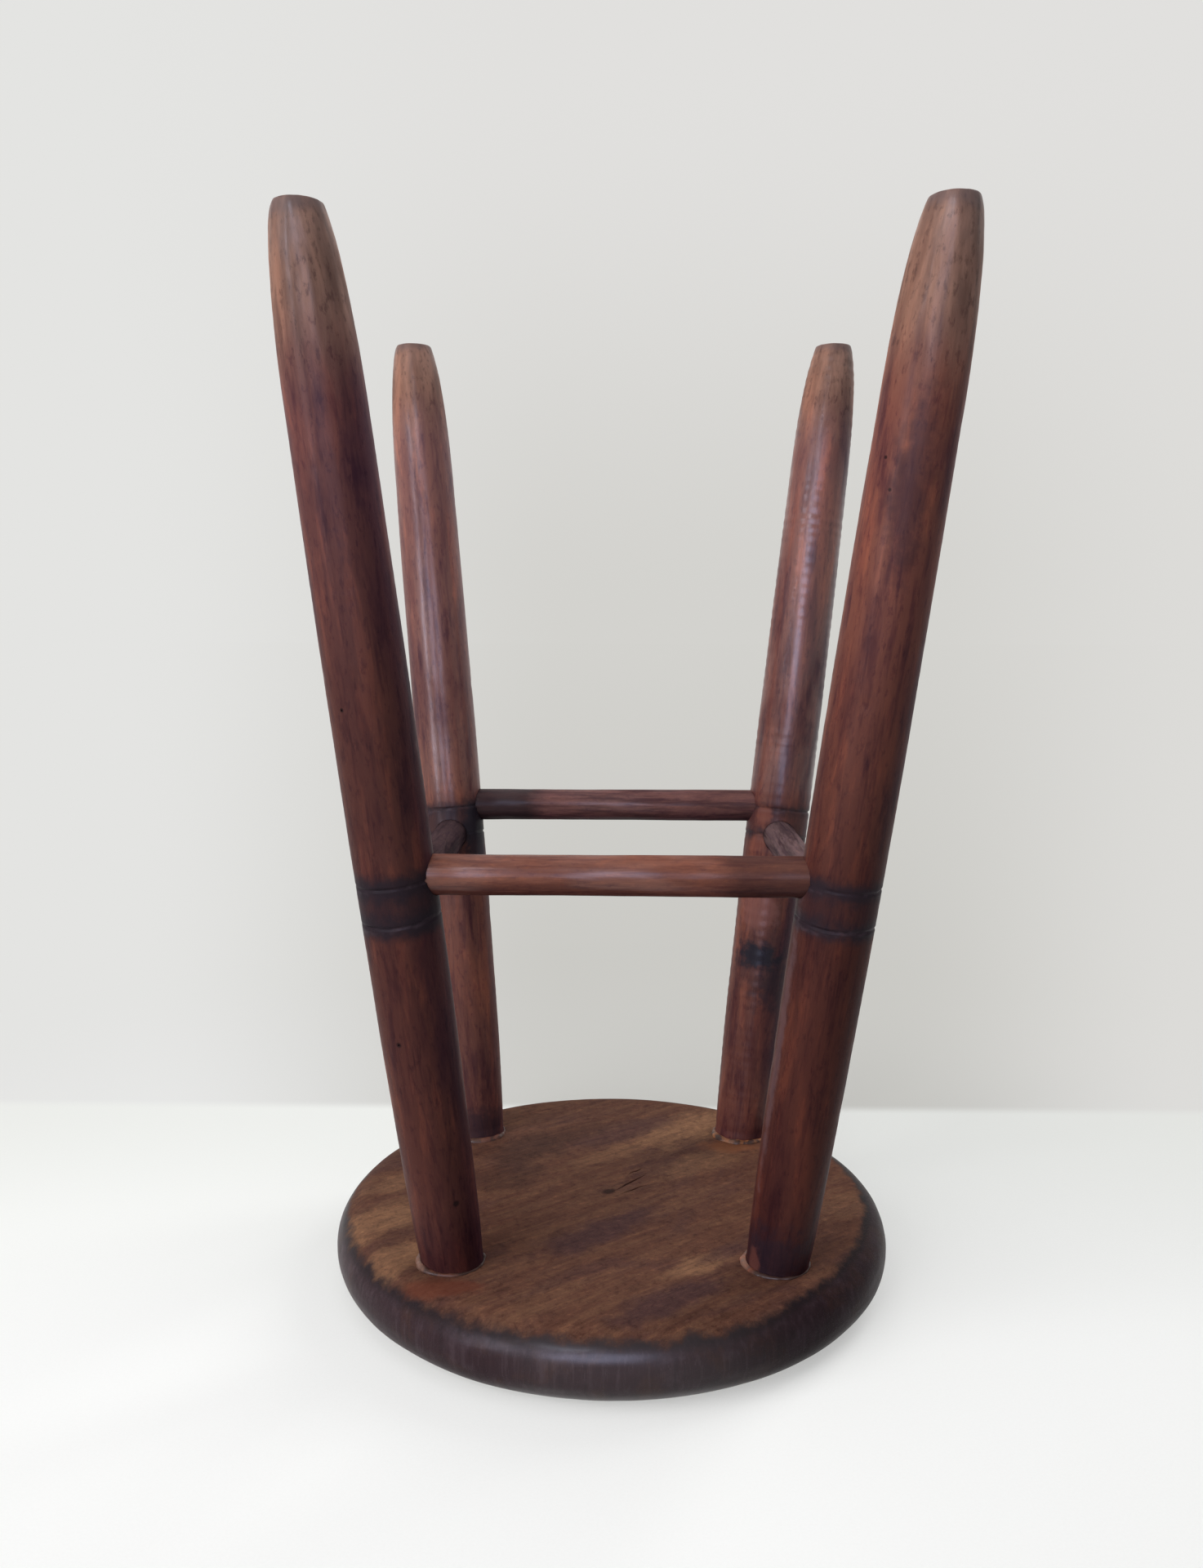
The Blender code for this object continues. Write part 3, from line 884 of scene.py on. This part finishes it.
for leg in leg_names:
    line = leg_lines[leg]
    piece = skin(f"leg_{leg}_turned", leg_rings(leg))
    piece.matrix_world = frame_at(leg_mouths[leg], line)
    cutters = []
    for rail, ends in rails.items():
        for near, far, (name, _) in zip(rail_ends(rail), rail_ends(rail)[::-1], ends):
            if name == leg:
                way = (far - near).normalized()
                cutters.append(bar(near - way * fit_gap, near + way * 0.030, rail_radius + fit_gap))
    for pit in leg_looks[leg].get("pits", ()):
        mouth = piece.matrix_world @ on_leg(leg, *pit)
        inwards = (leg_mouths[leg] + line * pit[1] - mouth).normalized()
        cutters.append(bar(mouth - inwards * 0.003, mouth + inwards * 0.002, 0.0007, 0.0003, 16))
    cut_out(piece, cutters)
    finish_piece(piece, f"leg_{leg}", leg_wood(leg))

# The four rails are plain rods shaved by hand, a little wavy, with their ends glued into the legs.
# The stain has rubbed thin along their middles and has gathered black where they enter the legs.
rail_steps = 72
chamfer = 0.0008
rail_lumps = 0.00028
rail_grit = 0.00009
rail_thinned = 0.0001
soot_reach = 0.043
rail_looks = {
    "stretcher_front": {
        "seed": 21.4, "soot": (0.0, 0.6), "varnish": 0.65,
        "body": tone(128, 82, 68), "deep": tone(109, 67, 56),
    },
    "stretcher_rear": {
        "seed": 25.9, "soot": (1.0, 0.2), "varnish": 0.40,
        "body": tone(116, 80, 76), "deep": tone(84, 57, 57),
    },
    # The left rail's tones are darker than the others', partly its own stain and partly painted shade of
    # its place between the legs.
    "stretcher_left": {
        "seed": 31.3, "soot": (0.7, 0.3), "varnish": 0.05,
        "body": tone(72, 56, 58), "deep": tone(50, 39, 42),
    },
    "stretcher_right": {
        "seed": 36.8, "soot": (0.7, 0.2), "varnish": 0.12,
        "body": tone(108, 86, 86), "deep": tone(72, 56, 58),
    },
}


def rail_rings(rail, length):
    """Return a rail's rings of points along its own Z, chamfered at both ends."""
    seed = rail_looks[rail]["seed"]
    count = int(length / 0.0016)
    places = [chamfer + (length - 2 * chamfer) * i / count for i in range(count + 1)]
    rings = []
    for along in [0.0, *places, length]:
        held = min(1.0, max(0.0, min(along, length - along) - 0.012) / 0.010)
        ring = []
        for turn in around(rail_steps):
            way = spoke(turn)
            spin = way * 1.6 + up * (along / 0.045 + seed)
            lumps = rail_lumps * noise.noise(spin) + rail_grit * noise.noise(spin * 4.1) - rail_thinned
            radius = rail_radius + held * lumps
            if along in (0.0, length):
                radius -= chamfer
            ring.append(way * radius + up * (along - length / 2))
        rings.append(ring)
    return rings


def rail_wood(rail, length):
    """Return a rail's material: streaked stain, sooty at both ends."""
    look = rail_looks[rail]
    seed = look["seed"]
    material, tree, shader, place = new_material(f"{rail}_wood")
    along = split(tree, place)["Z"]
    wide = use(tree, figure, place=place, fineness=190.0, stretch=10.0, seed=seed)
    close = use(tree, figure, place=place, fineness=560.0, stretch=14.0, seed=seed + 3)
    colour = lay(tree, fade(tree, wide["Streaks"], 0.38, 0.60), look["deep"], look["body"])
    stretched = stretch(tree, place, 0.4)
    flecks = mottle(tree, stretched, 480.0, 4.0, 0.65)
    start, end = rail_ends(rail)
    # The rail's underside is darkened as painted shade.
    own_down = up.rotation_difference(end - start).to_matrix().inverted() @ -up
    below = along_way(tree, place, own_down)
    for share, way in (
        (fade(tree, close["Streaks"], 0.50, 0.36, 0.0, 0.40), darker),
        (fade(tree, close["Fibres"], 0.58, 0.74, 0.0, 0.40), lighter),
        (fade(tree, flecks, 0.53, 0.68, 0.0, 0.35), darker),
        (fade(tree, flecks, 0.47, 0.34, 0.0, 0.30), lighter),
        (fade(tree, below, -0.001, rail_radius, 0.0, 0.60), darker),
    ):
        colour = lay(tree, share, colour, way, "MULTIPLY")
    for way, strength in zip((-1.0, 1.0), look["soot"]):
        from_end = less(tree, times(tree, along, way), length / 2 - soot_reach)
        sooty = torn_edge(tree, from_end, stretched, 90.0, 0.020, 0.008)
        colour = dab(tree, colour, sooty, 0.85 * strength, tone(40, 31, 35))
    rough = reckon(tree, "MULTIPLY_ADD", close["Streaks"], 0.2, 0.36)
    varnish = fade(tree, mottle(tree, stretched, 60.0), 0.38, 0.62, 0.2 * look["varnish"], look["varnish"])
    thin_end = fade(tree, along, length / 2 - 0.055, length / 2 - 0.030, 1.0, 0.3)
    varnish = times(tree, varnish, thin_end)
    height = reckon(tree, "MULTIPLY_ADD", close["Fibres"], 0.5, wide["Streaks"])
    dress(tree, shader, colour, rough, 0.0, varnish, 0.26, height, 0.00012)
    return material


for rail in rails:
    start, end = rail_ends(rail)
    length = (end - start).length
    piece = skin(f"{rail}_rod", rail_rings(rail, length))
    piece.matrix_world = frame_at((start + end) / 2, end - start)
    finish_piece(piece, rail, rail_wood(rail, length))

# Glue squeezed out round each leg and hardened as a thin uneven amber bead, thicker where it ran. It has
# taken the seat's brown dirt, and shows pale only where it ran and was knocked, which is partly painted
# highlight on the side toward the window lamp.
bead_steps = 120
bead_looks = {
    "front_left": {
        "seed": 2.2, "thick": math.radians(198),
        "amber": tone(92, 56, 44), "pale_and_glint": 0.45, "spread": 0.030,
    },
    "front_right": {
        "seed": 6.6, "thick": math.radians(182),
        "amber": tone(124, 64, 42), "pale_and_glint": 0.45, "spread": 0.012,
    },
    "rear_left": {
        "seed": 9.1, "thick": math.radians(275),
        "amber": tone(92, 56, 46), "pale_and_glint": 0.15, "spread": 0.030,
    },
    "rear_right": {
        "seed": 14.5, "thick": math.radians(238),
        "amber": tone(134, 84, 52), "pale_and_glint": 0.25, "spread": 0.040,
    },
}


def bead_rings(leg):
    """Return the bead's cross sections round a leg's neck, each a small rounded fillet."""
    look = bead_looks[leg]
    line = leg_lines[leg]
    mouth = leg_mouths[leg]
    rings = []
    for turn in around(bead_steps):
        way = spoke(turn)
        bulge = 0.5 + 0.5 * math.cos(turn - look["thick"])
        lump = noise.noise(way * 2.4 + up * look["seed"]) + 0.5 * noise.noise(way * 7.0 + up * look["seed"])
        width = max(0.0005, 0.0006 + 0.0018 * bulge**2 + 0.0008 * lump)
        rise = max(0.0005, 0.0006 + 0.0014 * bulge**2 + 0.0006 * lump)
        inner = tenon_radius + fit_gap
        ring = []
        for k in range(9):
            slope = math.pi / 2 * (k / 8)
            high = rise * math.cos(slope) + 0.00005
            wide = inner + width * math.sin(slope)
            lean = Vector((line.x, line.y, 0.0)) / line.z * high
            ring.append(mouth + way * wide + lean + up * high)
        ring.append(mouth + way * inner + up * 0.00005)
        rings.append(ring)
    return rings


def bead_glue(leg):
    """Return a bead's material: amber glue, darkened with dirt, and pale where it ran thick, partly as
    painted highlight.
    """
    look = bead_looks[leg]
    material, tree, shader, place = new_material(f"glue_bead_{leg}_glue")
    blotch = mottle(tree, place, 210.0, 4.0, 0.6)
    run = spoke(look["thick"]) * (tenon_radius + fit_gap)
    thickest = leg_mouths[leg] + run
    wide_run = (look["spread"], look["spread"], look["spread"])
    clean = blot(tree, place, thickest, wide_run, 120.0, 0.6)
    clean = times(tree, clean, fade(tree, blotch, 0.40, 0.60))
    colour = lay(tree, clean, tone(56, 37, 33), look["amber"])
    short_run = (0.006, 0.009, 0.006)
    drip = blot(tree, place, thickest, short_run, 300.0, 1.0)
    colour = dab(tree, colour, drip, look["pale_and_glint"], tone(142, 106, 90))
    line = fade(tree, mottle(tree, place, 160.0), 0.54, 0.66, 0.0, 0.5 * look["pale_and_glint"])
    colour = lay(tree, line, colour, tone(128, 96, 82))
    rough = fade(tree, blotch, 0.3, 0.7, 0.30, 0.50)
    dress(tree, shader, colour, rough, 0.2, 0.1, 0.2, blotch, 0.0002)
    return material


for leg in leg_names:
    piece = skin(f"glue_bead_{leg}_run", bead_rings(leg), closed=True)
    finish_piece(piece, f"glue_bead_{leg}", bead_glue(leg), 60)

# The setting: a pale floor whose far part, standing for the wall, is painted with a soft shade behind the
# stool, a big soft window lamp at the left, a lamp overhead and one behind, three lamps in front that only
# make highlights, an even pale world light with the same painted shade seen low behind the stool, and the
# camera as the photograph has it.
wall_line = 0.213
stand_off = 0.6654
floor_size = 60.0
floor_near = tone(246, 246, 244)
floor_far = tone(232, 233, 229)
wall_left = tone(228, 228, 226)
wall_right = tone(220, 219, 216)
wall_shade_low = tone(198, 197, 192)
wall_shade_middle = tone(211, 210, 206)
wall_high = tone(225, 224, 222)

floor_maker = bmesh.new()
bmesh.ops.create_grid(floor_maker, x_segments=12, y_segments=12, size=floor_size / 2)
floor = add_object("floor", floor_maker)
floor.location.z = -fit_gap


def seen_rays(tree):
    """Return one for rays that show a surface to the camera, straight, mirrored or through glass."""
    path = tree.nodes.new("ShaderNodeLightPath").outputs
    seen = reckon(tree, "MAXIMUM", path["Is Camera Ray"], path["Is Glossy Ray"])
    return reckon(tree, "MAXIMUM", seen, path["Is Transmission Ray"])


floor_material = bpy.data.materials.new("floor_paint")
floor_material.use_nodes = True
tree = floor_material.node_tree
tree.nodes.clear()
place = tree.nodes.new("ShaderNodeTexCoord").outputs["Object"]
aside, away, _ = split(tree, place)
sight = reckon(tree, "MAXIMUM", reckon(tree, "ADD", away, stand_off), 0.1)
colour = lay(tree, reckon(tree, "DIVIDE", wall_line + stand_off, sight), wall_shade_middle, wall_shade_low)
beside = reckon(tree, "DIVIDE", aside, sight)
colour = lay(tree, fade(tree, beside, -0.03, -0.40), colour, wall_left)
colour = lay(tree, fade(tree, beside, 0.20, 0.48), colour, wall_right)
near = lay(tree, fade(tree, away, wall_line, -0.16), floor_far, floor_near)
near = lay(tree, 1.0, near, fade(tree, aside, -0.30, 0.30, 1.020, 0.945), "MULTIPLY")
colour = lay(tree, fade(tree, away, wall_line + 0.009, wall_line - 0.009), colour, near)
speckle = fade(tree, mottle(tree, place, 900.0, 2.0), 0.3, 0.7, 0.992, 1.008)
colour = lay(tree, 1.0, colour, speckle, "MULTIPLY")
glow = put(tree, "ShaderNodeEmission", {"Color": colour, "Strength": 1.0}).outputs[0]
pale = put(tree, "ShaderNodeBsdfDiffuse", {"Color": colour}).outputs[0]
grey = put(tree, "ShaderNodeBsdfDiffuse", {"Color": (0.29, 0.29, 0.30, 1.0)}).outputs[0]
plan = stretch(tree, place, 0.0)
reach = off_centre(tree, plan)
clear = fade(tree, reach, 0.2, 0.7, 0.5, 1.0)
shown = put(tree, "ShaderNodeMixShader", {0: clear, 1: pale, 2: glow}).outputs[0]
both = put(tree, "ShaderNodeMixShader", {0: seen_rays(tree), 1: grey, 2: shown}).outputs[0]
put(tree, "ShaderNodeOutputMaterial", {"Surface": both})
floor.data.materials.append(floor_material)

world = bpy.data.worlds.new("pale_room")
bpy.context.scene.world = world
world.use_nodes = True
tree = world.node_tree
tree.nodes.clear()
soft = put(tree, "ShaderNodeBackground", {"Color": (0.93, 0.96, 1.06, 1.0), "Strength": 0.24}).outputs[0]
direction = tree.nodes.new("ShaderNodeTexCoord").outputs["Generated"]
looked = split(tree, direction)
backdrop = lay(tree, fade(tree, looked["Z"], 0.0, 0.40), wall_shade_middle, wall_high)
backdrop = lay(tree, fade(tree, looked["X"], -0.03, -0.37), backdrop, wall_left)
right_side = lay(tree, fade(tree, looked["Z"], 0.0, 0.40), wall_right, wall_high)
backdrop = lay(tree, fade(tree, looked["X"], 0.20, 0.43), backdrop, right_side)
seen = put(tree, "ShaderNodeBackground", {"Color": backdrop, "Strength": 1.0}).outputs[0]
both = put(tree, "ShaderNodeMixShader", {0: seen_rays(tree), 1: soft, 2: seen}).outputs[0]
put(tree, "ShaderNodeOutputWorld", {"Surface": both})


def lamp(name, place, aim, width, height, watts, colour=(1.0, 1.0, 1.0), mirrored=False):
    """Hang a soft rectangular lamp at a place, facing a point. A mirrored one only makes highlights."""
    light = bpy.data.lights.new(name, "AREA")
    light.shape = "RECTANGLE"
    light.size = width
    light.size_y = height
    light.energy = watts
    light.color = colour
    holder = bpy.data.objects.new(name, light)
    holder.location = place
    holder.rotation_mode = "QUATERNION"
    holder.rotation_quaternion = (Vector(aim) - Vector(place)).to_track_quat("-Z", "Y")
    holder.visible_glossy = mirrored
    holder.visible_diffuse = not mirrored
    bpy.context.scene.collection.objects.link(holder)


lamp("window_lamp", (-1.75, -1.55, 1.35), (0.0, 0.0, 0.25), 2.4, 2.2, 74.0)
lamp("sky_lamp", (-0.19, -2.1, 0.72), (0.0, 0.0, 0.25), 1.3, 0.90, 22.0, (0.80, 0.90, 1.28), True)
lamp("side_sky_lamp", (-1.95, -1.9, 0.80), (0.0, 0.0, 0.35), 0.40, 1.30, 24.0, (0.90, 0.94, 1.15), True)
lamp("crown_lamp", (-0.55, -1.75, 1.62), (0.0, 0.0, 0.40), 0.50, 0.35, 6.0, (0.90, 0.95, 1.15), True)
lamp("overhead_lamp", (-0.3, -0.2, 3.0), (0.0, 0.0, 0.0), 2.2, 2.2, 22.0)
lamp("rear_lamp", (1.6, 1.4, 1.6), (0.0, 0.0, 0.25), 1.3, 1.3, 38.0)

camera_data = bpy.data.cameras.new("camera")
camera_data.lens = 28.785
camera_data.sensor_width = 36.0
camera = bpy.data.objects.new("camera", camera_data)
camera.location = (0.0025, -0.6654, 0.3458)
camera.rotation_euler = [math.radians(angle) for angle in (82.953, -0.17, 0.77)]
bpy.context.scene.collection.objects.link(camera)
bpy.context.scene.camera = camera
bpy.context.scene.view_settings.view_transform = "Standard"
